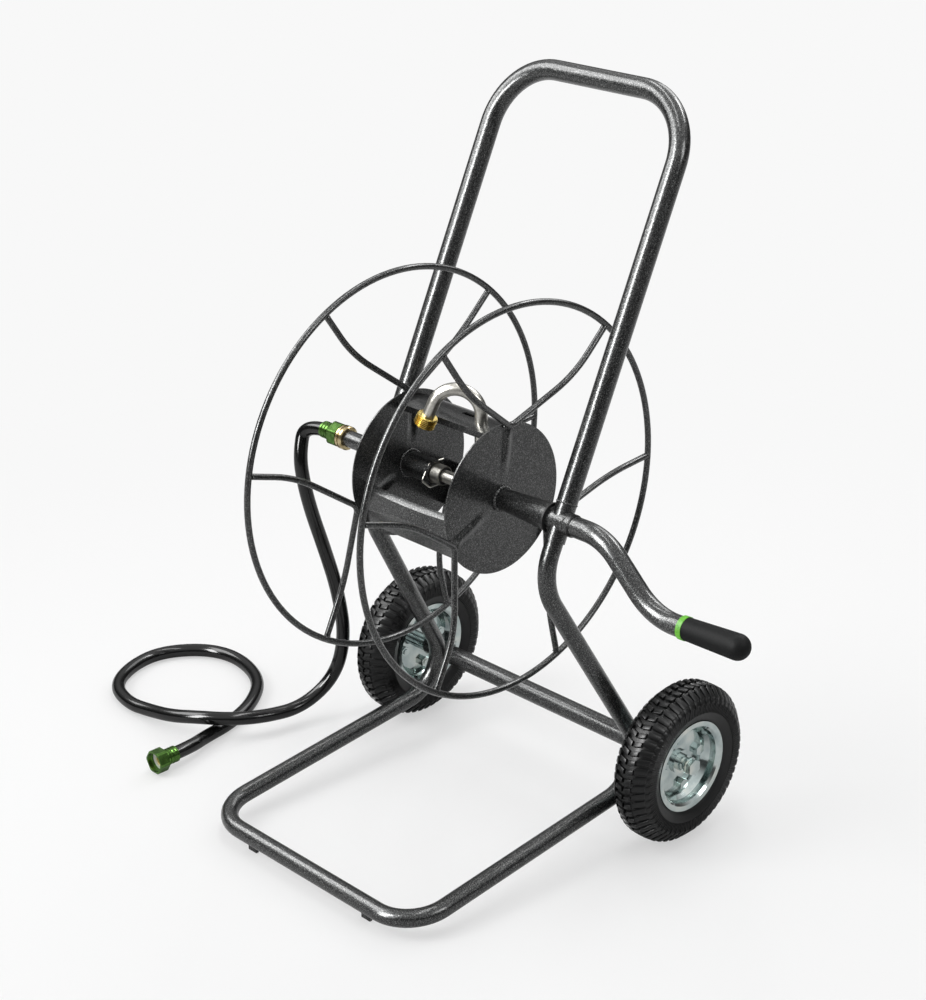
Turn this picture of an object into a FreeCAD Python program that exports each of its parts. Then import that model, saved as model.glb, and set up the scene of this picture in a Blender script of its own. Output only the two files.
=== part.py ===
import FreeCAD, Part
import Sketcher
import math
import os
import re
from FreeCAD import Placement, Rotation, Vector

# Garden hose reel cart, millimetres, Z up, ground at Z = 0.
# +X is the crank side, +Y the handle side; the origin is under the middle of the cart.

doc = FreeCAD.newDocument("hose_reel_cart")
sheet = doc.addObject("Spreadsheet::Sheet", "Sizes")

SIZES = {
    # datum places
    "frame_mid_x": -83.9, "axle_y": 20.05, "axle_height": 443,
    # bent tubes of the frame
    "tube_radius": 12.7, "tube_wall": 1.6, "leg_radius": 11.1, "leg_wall": 1.5,
    "upright_half": 151, "lean_angle": 25, "handle_reach": 513, "handle_bend": 80,
    "collar_top": 22, "collar_drop": 25, "leg_top_drop": 15,
    "knee_drop": 78.3, "knee_bend": 75, "base_half": 183, "heel_y": 147.4, "heel_z": 65.5,
    "heel_bend": 54, "toe_y": -278, "toe_z": 22.2, "toe_bend": 55,
    "foot_half_gap": 105, "foot_width": 15, "foot_depth": 4, "foot_back": 3, "foot_height": 13,
    # reel bearings
    "sleeve_start": 138, "sleeve_length": 34, "sleeve_radius": 14, "sleeve_bore": 12.9,
    "bush_flange": 2.7, "bush_flange_radius": 19, "bush_reach": 12,
    "washer_flange": 1.5, "washer_flange_radius": 13.4,
    "shaft_radius": 11.1, "running_gap": 0.07, "side_gap": 0.3,
    # reel
    "reel_mid_x": -28, "reel_turn": -6, "disc_half": 80, "disc_thick": 2, "disc_radius": 95,
    "ring_radius": 245, "ring_rod": 4, "ring_half": 99.5, "spoke_rod": 3.9,
    "plate_radius": 86, "plate_thick": 1.6, "plate_angle": 36, "plate_turn": 1, "plate_lip": 8,
    "lip_angle": 1.1, "slot_length": 20, "slot_width": 9, "slot_x": 16,
    "hub_small_radius": 13, "hub_large_radius": 17.6, "hub_grip": 55, "hub_bore": 9,
    "left_hub_radius": 15.9, "left_hub_bore": 14.3, "left_hub_end": 60,
    "liner_end": 90, "pipe_end": 70, "pipe_bore": 8.5, "pipe_outer_end": 231,
    "thread_radius": 13.2,
    "swivel_start": 88, "swivel_end": 45, "swivel_shoulder": 68, "seal_depth": 3,
    "seal_radius": 11, "o_ring_start": 80, "o_ring_width": 2.5, "o_ring_radius": 12.6,
    "swivel_nose": 12.6, "nose_start": 64, "clip_rod": 1.4, "clip_x": -64,
    "neck_radius": 8, "neck_bore": 6.2, "neck_x": 18, "neck_bend": 30, "neck_rise": 97.7,
    "neck_sweep": 78.5, "neck_heading": 213, "neck_tail": 31.6, "neck_corner": 24,
    "outlet_radius": 13.4, "outlet_length": 14, "outlet_lip": 2,
    # crank
    "crank_start": 173.8, "crank_bend": 68, "crank_elbow": 80, "crank_first_x": 219.8,
    "crank_second_x": 298.5, "crank_second_z": -73.4, "grip_rise": 2.7, "grip_ring_start": 42.6,
    "grip_ring_length": 7, "grip_ring_radius": 14.3, "grip_root": 13.6, "grip_radius": 15.5,
    "grip_length": 87, "grip_cover": 10,
    # wheels
    "wheel_half": 235, "wheel_y": 132, "wheel_z": 104.7, "tyre_radius": 104.7, "tyre_half": 28,
    "tyre_crown": 5.2, "rim_sheet": 1.6, "flange_radius": 59.6, "flange_out": 20.7,
    "inner_tube_wall": 1.2, "bead_depth": 3.1, "tube_side": 6.5,
    "wheel_hub_radius": 11, "axle_radius": 6.35, "wheel_hub_in": 19, "wheel_hub_out": 17.2,
    "boss_radius": 15.5, "boss_out": 5.5, "boss_step": 11.5, "boss_neck": 8.8,
    "washer_thick": 2, "washer_radius": 11.2, "axle_head_radius": 10.97, "axle_head": 7.5,
    "axle_reach": 45, "rim_bolt_circle": 33.5, "rim_bolt_radius": 4, "rim_bolt_head": 7.5,
    "rim_bolt_height": 6, "rim_bolt_length": 10,
    # hose fittings
    "hose_radius": 9.25, "hose_bore": 6.4, "stem_bore": 4.6, "stem_long": 28,
    "ferrule_radius": 11.2, "ferrule_length": 20, "ferrule_wall": 1.7,
    "adapter_start": 222, "adapter_length": 12, "adapter_radius": 15.8, "adapter_stub": 9,
    "adapter_edge": 1.4, "adapter_groove": 1.8, "nut_corner": 17.4, "nut_round": 16.4,
    "nut_length": 15.3, "nut_wall": 2.3, "stem_flange_radius": 12.9, "stem_flange": 2,
    "seat_washer": 2, "seat_bore": 8, "end_x": -343, "end_y": -213.5, "end_z": 17.6,
}
for row, (name, number) in enumerate(SIZES.items(), start=1):
    sheet.set("A%d" % row, name)
    sheet.set("B%d" % row, str(number))
    sheet.setAlias("B%d" % row, name)
doc.recompute()

NODES = []
ALONG_X = Rotation(Vector(0, 1, 0), 90)
AGAINST_X = Rotation(Vector(0, 1, 0), -90)
AGAINST_Y = Rotation(Vector(1, 0, 0), 90)


def linked(text):
    """The text of an expression with each size written as a cell of the sheet."""
    return re.sub(r"[a-z]\w+", lambda m: "Sizes." + m.group() if m.group() in SIZES else m.group(),
                  str(text))


def number(text):
    return float(sheet.evalExpression(linked(text)))


def bind(thing, **texts):
    for prop, text in texts.items():
        thing.setExpression(prop.replace("__", "."), linked(text))


def place(thing, x, y, z, turn=Rotation()):
    """Sets the rotation and ties the position to the sheet."""
    thing.Placement = Placement(Vector(number(x), number(y), number(z)), turn)
    bind(thing, Placement__Base__x=x, Placement__Base__y=y, Placement__Base__z=z)
    return thing


def node(thing, name):
    thing.Label = name
    NODES.append(thing)
    return thing


def cylinder(name, radius, height, x, y, z, turn=ALONG_X):
    thing = doc.addObject("Part::Cylinder", name)
    bind(thing, Radius=radius, Height=height)
    return place(thing, x, y, z, turn)


def hexagon(name, corner, height, x, y, z, turn=ALONG_X):
    thing = doc.addObject("Part::Prism", name)
    thing.Polygon = 6
    bind(thing, Circumradius=corner, Height=height)
    return place(thing, x, y, z, turn)


def block(name, length, width, height, x, y, z, turn=Rotation()):
    thing = doc.addObject("Part::Box", name)
    bind(thing, Length=length, Width=width, Height=height)
    return place(thing, x, y, z, turn)


def cut(name, base, tool):
    thing = doc.addObject("Part::Cut", name)
    thing.Base = base
    thing.Tool = tool
    return thing


def fuse(name, *shapes):
    thing = doc.addObject("Part::MultiFuse", name)
    thing.Shapes = list(shapes)
    return thing


def common(name, *shapes):
    thing = doc.addObject("Part::MultiCommon", name)
    thing.Shapes = list(shapes)
    return thing


def group(name, *shapes):
    thing = doc.addObject("Part::Compound", name)
    thing.Links = list(shapes)
    return thing


def turned(name, outline, x, y, z, turn=ALONG_X):
    """A body turned about its own axis from (radius, distance along the axis) corners."""
    body = doc.addObject("PartDesign::Body", name)
    sketch = body.newObject("Sketcher::SketchObject", name + "_outline")
    plane = [f for f in body.Origin.OriginFeatures if f.Role == "XZ_Plane"][0]
    sketch.AttachmentSupport = [(plane, "")]
    sketch.MapMode = "FlatFace"
    spots = [Vector(number(r), number(w), 0) for r, w in outline]
    count = len(spots)
    for i in range(count):
        sketch.addGeometry(Part.LineSegment(spots[i], spots[(i + 1) % count]), False)
    for i in range(count):
        sketch.addConstraint(Sketcher.Constraint("Coincident", i, 2, (i + 1) % count, 1))
    for i, (r, w) in enumerate(outline):
        for kind, text, now in (("DistanceX", r, spots[i].x), ("DistanceY", w, spots[i].y)):
            index = sketch.addConstraint(Sketcher.Constraint(kind, -1, 1, i, 1, now))
            sketch.setExpression("Constraints[%d]" % index, linked(text))
    spin = body.newObject("PartDesign::Revolution", name + "_turn")
    spin.Profile = sketch
    spin.ReferenceAxis = (sketch, ["V_Axis"])
    spin.Angle = 360
    return place(body, x, y, z, turn)


def tube(name, outer, inner, length, x, y, z, turn=ALONG_X):
    """A straight round tube or washer as one turned body."""
    return turned(name, [(inner, 0), (outer, 0), (outer, length), (inner, length)], x, y, z, turn)


def rounded_path(points, radii):
    """A wire through the corner points, straight runs joined by tangent arcs."""
    points = [Vector(*p) for p in points]
    edges = []
    last = points[0]
    for before, corner, after, radius in zip(points, points[1:], points[2:], radii):
        go_in = (corner - before).normalize()
        go_out = (after - corner).normalize()
        half = go_in.getAngle(go_out) / 2
        reach = radius * math.tan(half)
        start = corner - go_in * reach
        end = corner + go_out * reach
        inward = (go_out - go_in).normalize()
        middle = corner + inward * (radius / math.cos(half) - radius)
        if last.distanceToPoint(start) > 0.001:
            edges.append(Part.LineSegment(last, start).toShape())
        edges.append(Part.Arc(start, middle, end).toShape())
        last = end
    if last.distanceToPoint(points[-1]) > 0.001:
        edges.append(Part.LineSegment(last, points[-1]).toShape())
    return Part.Wire(edges)


def swept(name, points, radii, radius):
    """A round bar of the sized radius along the rounded path."""
    wire = rounded_path(points, radii)
    path = doc.addObject("Part::Feature", name + "_path")
    path.Shape = wire
    ring = doc.addObject("Part::Circle", name + "_ring")
    bind(ring, Radius=radius)
    heading = Vector(*points[1]) - Vector(*points[0])
    ring.Placement = Placement(Vector(*points[0]), Rotation(Vector(0, 0, 1), heading))
    bar = doc.addObject("Part::Sweep", name)
    bar.Sections = [ring]
    bar.Spine = (path, ["Edge%d" % (i + 1) for i in range(len(wire.Edges))])
    bar.Solid = True
    return bar


def hollow(name, points, radii, outer, inner):
    return cut(name, swept(name + "_skin", points, radii, outer),
               swept(name + "_bore", points, radii, inner))


def at_frame(x, y, z):
    """A place given from the frame's middle plane, the reel axle and the ground."""
    return (number("frame_mid_x") + x, number("axle_y") + y, z)


def on_slope(x, s):
    """A place in the leaning plane of the uprights, s along the slope from the axle."""
    lean = math.radians(number("lean_angle"))
    return at_frame(x, s * math.sin(lean), number("axle_height") + s * math.cos(lean))


SLOPE = Rotation(Vector(1, 0, 0), -SIZES["lean_angle"])

# ---------------------------------------------------------------- handle and base tubes
half = number("upright_half")
low = number("collar_top")
high = number("handle_reach")
handle_points = [on_slope(-half, low), on_slope(-half, high), on_slope(half, high),
                 on_slope(half, low)]
handle_bends = [number("handle_bend")] * 2
node(hollow("handle_tube", handle_points, handle_bends, "tube_radius",
            "tube_radius - tube_wall"), "handle_tube")

base = number("base_half")
side_points = [on_slope(-half, -number("leg_top_drop")), on_slope(-half, -number("knee_drop")),
               at_frame(-base, number("heel_y"), number("heel_z")),
               at_frame(-base, number("toe_y"), number("toe_z"))]
mirrored = [(2 * number("frame_mid_x") - x, y, z) for x, y, z in reversed(side_points)]
base_bends = [number(b) for b in ("knee_bend", "heel_bend", "toe_bend",
                                  "toe_bend", "heel_bend", "knee_bend")]
base_skin = swept("base_skin", side_points + mirrored, base_bends, "leg_radius")
base_bore = swept("base_bore", side_points + mirrored, base_bends, "leg_radius - leg_wall")
node(cut("base_frame_tube", base_skin, base_bore), "base_frame_tube")

axle_half = "(wheel_half - wheel_hub_in - side_gap - washer_thick)"
axle_raw = tube("axle_tube_raw", "tube_radius", "tube_radius - tube_wall", "2 * " + axle_half,
                "frame_mid_x - " + axle_half, "axle_y + wheel_y", "wheel_z")
node(cut("axle_tube", axle_raw, base_skin), "axle_tube")

feet = [block("foot_%s" % side, "foot_width", "foot_depth", "foot_height",
              "frame_mid_x %s foot_half_gap - foot_width / 2" % sign,
              "axle_y + toe_y + foot_back - foot_depth / 2", 0)
        for side, sign in (("left", "-"), ("right", "+"))]
node(cut("front_feet", group("feet_pair", *feet), base_skin), "front_feet")

# ---------------------------------------------------------------- reel bearings
for side, sign in (("right", "+"), ("left", "-")):
    middle = "frame_mid_x %s upright_half" % sign
    outward = ALONG_X if sign == "+" else AGAINST_X
    start_y = "axle_y - collar_drop * sin(lean_angle * 1 deg)"
    start_z = "axle_height - collar_drop * cos(lean_angle * 1 deg)"
    long = "collar_top + collar_drop"
    collar = tube("collar_%s" % side, "tube_radius", "leg_radius", long,
                  middle, start_y, start_z, SLOPE)
    sleeve = cylinder("sleeve_%s" % side, "sleeve_radius", "sleeve_length",
                      "frame_mid_x %s sleeve_start" % sign, "axle_y", "axle_height", outward)
    bore = cylinder("sleeve_bore_%s" % side, "sleeve_bore", "sleeve_length",
                    "frame_mid_x %s sleeve_start" % sign, "axle_y", "axle_height", outward)
    joined = fuse("bracket_%s" % side, collar, sleeve)
    node(cut("bearing_bracket_" + side, joined, bore), "bearing_bracket_" + side)
    hole = "shaft_radius + running_gap" if side == "right" else "shaft_radius"
    name = "bush_%s_inner" % side
    node(turned(name, [(hole, 0), ("bush_flange_radius", 0), ("bush_flange_radius", "bush_flange"),
                       ("sleeve_bore", "bush_flange"), ("sleeve_bore", "bush_flange + bush_reach"),
                       (hole, "bush_flange + bush_reach")],
                "frame_mid_x %s (sleeve_start - bush_flange)" % sign, "axle_y", "axle_height",
                outward), name)
    name = "bush_%s_outer" % side
    node(turned(name, [(hole, 0), ("sleeve_bore", 0), ("sleeve_bore", "bush_reach"),
                       ("washer_flange_radius", "bush_reach"),
                       ("washer_flange_radius", "bush_reach + washer_flange"),
                       (hole, "bush_reach + washer_flange")],
                "frame_mid_x %s (sleeve_start + sleeve_length - bush_reach)" % sign,
                "axle_y", "axle_height", outward), name)

# ---------------------------------------------------------------- wheels
def wheel_turned(name, side, outline):
    """Corners are (radius, distance outward from the middle of the wheel)."""
    sign, outward = (("+", ALONG_X) if side == "right" else ("-", AGAINST_X))
    return turned(name, outline, "frame_mid_x %s wheel_half" % sign, "axle_y + wheel_y",
                  "wheel_z", outward)


def wheel_spot(sign, out):
    return "frame_mid_x %s (wheel_half + %s)" % (sign, out)


rim_skin = [("flange_radius - 16.6", 0), ("flange_radius - 9.1", "flange_out - 10.7"),
            ("flange_radius - 8.1", "flange_out - 2.7"), ("flange_radius - 5.6", "flange_out - 0.5"),
            ("flange_radius", "flange_out")]
rim_back = [("flange_radius", "flange_out + rim_sheet"),
            ("flange_radius - 6.6", "flange_out - 0.5 + rim_sheet"),
            ("flange_radius - 9.7", "flange_out - 1.7"), ("flange_radius - 10.7", "flange_out - 10"),
            ("flange_radius - 17.4", "rim_sheet")]


def in_casing(share):
    """A radius part of the way from the rim's flange to the tread."""
    return "flange_radius + %s * (tyre_radius - flange_radius)" % share


tyre_skin = [("flange_radius", "flange_out"), (in_casing(0.0976), "tyre_half - 4.4"),
             (in_casing(0.2306), "tyre_half - 1.5"), (in_casing(0.3636), "tyre_half - 0.2"),
             (in_casing(0.4967), "tyre_half"), (in_casing(0.6297), "tyre_half - 1.2"),
             (in_casing(0.7849), "tyre_half - 6.5"), (in_casing(0.8958), "tyre_half - 10.6"),
             (in_casing(0.9623), "tyre_half - 13.5"), ("tyre_radius", "tyre_half - 20")]
tyre_core = [("tyre_radius - tyre_crown", "tyre_half - 20"),
             (in_casing(0.796), "tyre_half - 13.5"), (in_casing(0.663), "tyre_half - 8.4"),
             (in_casing(0.4967), "tyre_half - 5"), (in_casing(0.3193), "tyre_half - 5.2"),
             (in_casing(0.1419), "tyre_half - 9"), ("flange_radius - 2.6", "flange_out - 7.7")]
TUBE_RADIUS = ("min((tyre_radius - tyre_crown - flange_radius + bead_depth) / 2; "
               "tyre_half - tube_side)")


def flipped(corners):
    return [(r, "-(%s)" % w) for r, w in reversed(corners)]


for side, sign, outward in (("left", "-", AGAINST_X), ("right", "+", ALONG_X)):
    bead = rim_skin[1:4]
    tyre = wheel_turned(side + "_tyre", side,
                        bead + tyre_skin + flipped(tyre_skin) + flipped(bead)
                        + flipped(tyre_core) + tyre_core)
    node(tyre, side + "_tyre")
    rings = []
    for skin in (TUBE_RADIUS, TUBE_RADIUS + " - inner_tube_wall"):
        torus = doc.addObject("Part::Torus", "torus")
        bind(torus, Radius1="flange_radius - bead_depth + " + TUBE_RADIUS, Radius2=skin)
        rings.append(place(torus, wheel_spot(sign, "0"), "axle_y + wheel_y", "wheel_z", outward))
    node(cut(side + "_inner_tube", *rings), side + "_inner_tube")
    bolts = []
    nuts = []
    for i in range(4):
        angle = "(8 + 90 * %d)" % i
        y = "axle_y + wheel_y + rim_bolt_circle * cos(%s * 1 deg)" % angle
        z = "wheel_z + rim_bolt_circle * sin(%s * 1 deg)" % angle
        head = hexagon("rim_head", "rim_bolt_head", "rim_bolt_height",
                       wheel_spot(sign, "rim_sheet"), y, z, outward)
        shank = cylinder("rim_shank", "rim_bolt_radius", "rim_bolt_length + rim_sheet",
                         wheel_spot(sign, "-rim_bolt_length"), y, z, outward)
        bolts.append(fuse("rim_bolt", head, shank))
        blank = hexagon("rim_nut_blank", "rim_bolt_head", "rim_bolt_height + 1",
                        wheel_spot(sign, "-rim_sheet - rim_bolt_height - 1"), y, z, outward)
        nuts.append(cut("rim_nut", blank, shank))
    bolt_group = node(group(side + "_rim_bolts", *bolts), side + "_rim_bolts")
    node(group(side + "_rim_nuts", *nuts), side + "_rim_nuts")
    edge = [("wheel_hub_radius", "rim_sheet"), ("wheel_hub_radius", 0)]
    outer_raw = wheel_turned(side + "_rim_outer_raw", side, edge + rim_skin + rim_back)
    inner_raw = wheel_turned(side + "_rim_inner_raw", side, flipped(edge + rim_skin + rim_back))
    node(cut(side + "_rim_outer", outer_raw, bolt_group), side + "_rim_outer")
    node(cut(side + "_rim_inner", inner_raw, bolt_group), side + "_rim_inner")
    node(wheel_turned(side + "_wheel_hub", side,
                      [("axle_radius + running_gap", "-wheel_hub_in"),
                       ("wheel_hub_radius", "-wheel_hub_in"),
                       ("wheel_hub_radius", "rim_sheet"), ("boss_radius", "rim_sheet"),
                       ("boss_radius", "boss_out"), ("wheel_hub_radius", "boss_out"),
                       ("wheel_hub_radius", "boss_step"), ("boss_neck", "boss_step"),
                       ("boss_neck", "wheel_hub_out"),
                       ("axle_radius + running_gap", "wheel_hub_out")]), side + "_wheel_hub")

axle_bolts = []
axle_washers = []
axle_plugs = []
for side, sign, outward in (("left", "-", AGAINST_X), ("right", "+", ALONG_X)):
    head_at = "wheel_hub_out + side_gap + washer_thick"
    y, z = "axle_y + wheel_y", "wheel_z"
    head = hexagon("axle_head", "axle_head_radius", "axle_head", wheel_spot(sign, head_at),
                   y, z, outward)
    shank = cylinder("axle_shank", "axle_radius", "axle_reach + " + head_at,
                     wheel_spot(sign, "-axle_reach"), y, z, outward)
    axle_bolts.append(fuse("axle_bolt", head, shank))
    for at in ("wheel_hub_out + side_gap", "-wheel_hub_in - side_gap - washer_thick"):
        axle_washers.append(tube("axle_washer", "washer_radius", "axle_radius", "washer_thick",
                                 wheel_spot(sign, at), y, z, outward))
    axle_plugs.append(tube("axle_plug", "tube_radius - tube_wall", "axle_radius",
                           "axle_reach - wheel_hub_in - side_gap - washer_thick",
                           wheel_spot(sign, "-axle_reach"), y, z, outward))
node(group("axle_bolts", *axle_bolts), "axle_bolts")
node(group("axle_washers", *axle_washers), "axle_washers")
node(group("axle_plugs", *axle_plugs), "axle_plugs")

# ---------------------------------------------------------------- reel rings, spokes, discs
APEX_ANGLES = [90 + 120 * i + SIZES["reel_turn"] for i in range(3)]
ring_radius, disc_radius = SIZES["ring_radius"], SIZES["disc_radius"]
SPOKE_RUN = [(0.8165 * ring_radius, 0.5565 * ring_radius, 1.0),
             (0.66 * disc_radius + 0.34 * ring_radius, 0.367 * ring_radius, 1.0)]
SPOKE_APEX = (0.958 * disc_radius, 0, -0.047)
SPOKE_BENDS = [190, 14, 190]


def reel_spot(x, angle, along, aside):
    """A place on the reel: along one apex direction and square to it."""
    turn = math.radians(angle)
    y = along * math.cos(turn) - aside * math.sin(turn)
    z = along * math.sin(turn) + aside * math.cos(turn)
    return at_frame(x, y, number("axle_height") + z)


for side, way in (("left", -1), ("right", 1)):
    sign = "+" if way > 0 else "-"
    ring = doc.addObject("Part::Torus", side + "_ring")
    bind(ring, Radius1="ring_radius", Radius2="ring_rod")
    place(ring, "frame_mid_x + reel_mid_x %s ring_half" % sign, "axle_y", "axle_height", ALONG_X)
    node(ring, side + "_ring")
    near = number("disc_half + disc_thick + ring_rod")
    far = number("ring_half")
    rods = []
    for angle in APEX_ANGLES:
        run = [reel_spot(SIZES["reel_mid_x"] + way * (near + (far - near) * share), angle,
                         along, aside) for along, aside, share in SPOKE_RUN + [SPOKE_APEX]]
        back = [reel_spot(SIZES["reel_mid_x"] + way * (near + (far - near) * share), angle,
                          along, -aside) for along, aside, share in reversed(SPOKE_RUN)]
        rods.append(swept("spoke_rod", run + back, SPOKE_BENDS, "spoke_rod"))
    node(cut(side + "_spokes", group(side + "_rods", *rods), ring), side + "_spokes")

node(tube("left_disc", "disc_radius", "left_hub_radius", "disc_thick",
          "frame_mid_x + reel_mid_x - disc_half - disc_thick", "axle_y", "axle_height"), "left_disc")
node(tube("right_disc", "disc_radius", "hub_bore", "disc_thick",
          "frame_mid_x + reel_mid_x + disc_half", "axle_y", "axle_height"), "right_disc")


def sector(name, inner, outer, wide, start):
    """Part of a ring across the drum, from one angle round the reel axle."""
    at = "frame_mid_x + reel_mid_x - disc_half"
    turn = Rotation(Vector(1, 0, 0), start - 270).multiply(ALONG_X)
    whole = cylinder(name + "_full", outer, "2 * disc_half", at, "axle_y", "axle_height", turn)
    bind(whole, Angle=wide)
    core = cylinder(name + "_core", inner, "2 * disc_half", at, "axle_y", "axle_height", turn)
    return cut(name + "_sector", whole, core)


neck_turn = math.radians(number("neck_heading"))
neck_way = Vector(math.cos(neck_turn), math.sin(neck_turn), 0)
axle_z = number("axle_height")
riser = Vector(*at_frame(number("neck_x"), 0, axle_z))
step = math.radians(number("neck_sweep"))
reach = number("neck_bend") * math.tan(step / 2)
crest = riser + Vector(0, 0, number("neck_rise") + reach)
over = crest + (neck_way * math.sin(step) + Vector(0, 0, math.cos(step))) * (2 * reach)
final = neck_way * math.sin(2 * step) + Vector(0, 0, math.cos(2 * step))
neck_end = over + final * (reach + number("neck_tail"))
neck_points = [at_frame(-number("left_hub_end"), 0, axle_z), tuple(riser), tuple(crest),
               tuple(over), tuple(neck_end)]
neck_bends = [number("neck_corner"), number("neck_bend"), number("neck_bend")]
neck_skin = swept("neck_skin", neck_points, neck_bends, "neck_radius")
neck_inside = swept("neck_inside", neck_points, neck_bends, "neck_bore")

for name, angle in zip(("top", "front", "rear"), APEX_ANGLES):
    begin = angle + SIZES["plate_turn"] - SIZES["plate_angle"] / 2
    face = sector(name + "_face", "plate_radius", "plate_radius + plate_thick", "plate_angle",
                  begin)
    lips = [sector(name + "_lip", "plate_radius - plate_lip", "plate_radius + plate_thick / 2",
                   "lip_angle", at) for at in (begin, begin + SIZES["plate_angle"]
                                               - SIZES["lip_angle"])]
    sheet_part = fuse(name + "_plate", face, *lips)
    if name == "top":
        slot = block("plate_slot", "slot_length", "slot_width", 40,
                     "frame_mid_x + reel_mid_x + slot_x - slot_length / 2",
                     "axle_y + 10 - slot_width / 2", "axle_height + plate_radius - 25")
        sheet_part = cut("top_cut", sheet_part, fuse("top_tools", slot, neck_skin))
    node(sheet_part, "drum_plate_" + name)

# ---------------------------------------------------------------- reel hubs and swivel
hub_at = "frame_mid_x + reel_mid_x + disc_half + disc_thick"
hub_long = "(sleeve_start - bush_flange - side_gap - reel_mid_x - disc_half - disc_thick)"
node(turned("right_hub_tube",
            [("hub_bore", 0), ("hub_small_radius", 0), ("hub_large_radius", hub_long),
             ("shaft_radius", hub_long), ("shaft_radius", hub_long + " - hub_grip"),
             ("hub_bore", hub_long + " - hub_grip")],
            hub_at, "axle_y", "axle_height"), "right_hub_tube")

clip_corners = [(16, 13.1), (-8, 13.1), (-21, -6), (-8, -17.8), (14, -17.8)]
clip_points = [at_frame(number("clip_x"), y, axle_z + z) for y, z in clip_corners]
clip = node(swept("retaining_clip", clip_points, [4, 4, 4], "clip_rod"), "retaining_clip")

left_start = "frame_mid_x - sleeve_start + bush_flange + side_gap"
left_long = "sleeve_start - bush_flange - side_gap - left_hub_end"
hub_raw = tube("left_hub_raw", "left_hub_radius", "left_hub_bore", left_long,
               left_start, "axle_y", "axle_height")
node(cut("left_hub_tube", hub_raw, clip), "left_hub_tube")
node(tube("hub_liner", "left_hub_bore", "shaft_radius + running_gap",
          "sleeve_start - bush_flange - side_gap - liner_end",
          left_start, "axle_y", "axle_height"), "hub_liner")
whole = "swivel_start - swivel_end"
groove = "swivel_start - o_ring_start"
swivel_raw = turned("swivel_raw",
                    [("shaft_radius + running_gap", 0), ("left_hub_bore", 0),
                     ("left_hub_bore", "swivel_start - nose_start"),
                     ("swivel_nose", "swivel_start - nose_start"), ("swivel_nose", whole),
                     ("seal_radius", whole),
                     ("seal_radius", whole + " - seal_depth"), ("neck_radius", whole + " - seal_depth"),
                     ("neck_radius", "swivel_start - swivel_shoulder"),
                     ("shaft_radius + running_gap", "swivel_start - swivel_shoulder"),
                     ("shaft_radius + running_gap", groove + " + o_ring_width"),
                     ("o_ring_radius", groove + " + o_ring_width"), ("o_ring_radius", groove),
                     ("shaft_radius + running_gap", groove)],
                    "frame_mid_x - swivel_start", "axle_y", "axle_height")
node(cut("swivel_ring", swivel_raw, clip), "swivel_ring")
node(tube("swivel_seal", "seal_radius", "neck_radius", "seal_depth",
          "frame_mid_x - swivel_end - seal_depth", "axle_y", "axle_height"), "swivel_seal")
node(tube("swivel_o_ring", "o_ring_radius", "shaft_radius + running_gap", "o_ring_width",
          "frame_mid_x - o_ring_start", "axle_y", "axle_height"), "swivel_o_ring")
node(cut("gooseneck_pipe", neck_skin, neck_inside), "gooseneck_pipe")

outlet_turn = Rotation(Vector(0, 0, 1), final)
outlet_at = neck_end - final * (number("outlet_length") - number("outlet_lip"))
node(turned("outlet_thread",
            [("neck_radius", 0), ("outlet_radius", 0), ("outlet_radius", "outlet_length"),
             ("neck_bore", "outlet_length"), ("neck_bore", "outlet_length - outlet_lip"),
             ("neck_radius", "outlet_length - outlet_lip")],
            outlet_at.x, outlet_at.y, outlet_at.z, outlet_turn), "outlet_thread")

# ---------------------------------------------------------------- crank
rise = math.radians(number("grip_rise"))
grip_way = Vector(math.cos(rise), 0, math.sin(rise))
elbow = Vector(*at_frame(number("crank_second_x"), 0, axle_z + number("crank_second_z")))
crank_points = [at_frame(number("crank_start"), 0, axle_z),
                at_frame(number("crank_first_x"), 0, axle_z), tuple(elbow),
                tuple(elbow + grip_way * number("grip_ring_start + grip_ring_length"
                                                " + grip_length - grip_cover"))]
crank_bends = [number("crank_bend"), number("crank_elbow")]
crank_bar = hollow("crank_bar", crank_points, crank_bends, "tube_radius",
                   "tube_radius - tube_wall")
journal = tube("crank_journal", "shaft_radius", "shaft_radius - tube_wall",
               "crank_start + 5 - sleeve_start + bush_flange + side_gap + hub_grip",
               "frame_mid_x + sleeve_start - bush_flange - side_gap - hub_grip",
               "axle_y", "axle_height")
shoulder = tube("crank_shoulder", "tube_radius", "shaft_radius - tube_wall", 5,
                "frame_mid_x + crank_start", "axle_y", "axle_height")
node(fuse("crank_tube", crank_bar, journal, shoulder), "crank_tube")

grip_turn = Rotation(Vector(0, 1, 0), 90 - SIZES["grip_rise"])
ring_at = elbow + grip_way * number("grip_ring_start")
grip_at = ring_at + grip_way * number("grip_ring_length")
node(tube("grip_ring", "grip_ring_radius", "tube_radius", "grip_ring_length",
          ring_at.x, ring_at.y, ring_at.z, grip_turn), "grip_ring")
grip_stop = "grip_length - grip_cover"
grip_dome = [("grip_radius * %.4f" % math.cos(math.radians(turn)),
              "grip_length - grip_radius * %.4f" % (1 - math.sin(math.radians(turn))))
             for turn in range(0, 90, 9)]
node(turned("crank_grip",
            [("tube_radius", 0), ("grip_root", 0)] + grip_dome
            + [(0, "grip_length"), (0, grip_stop), ("tube_radius", grip_stop)],
            grip_at.x, grip_at.y, grip_at.z, grip_turn), "crank_grip")

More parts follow.
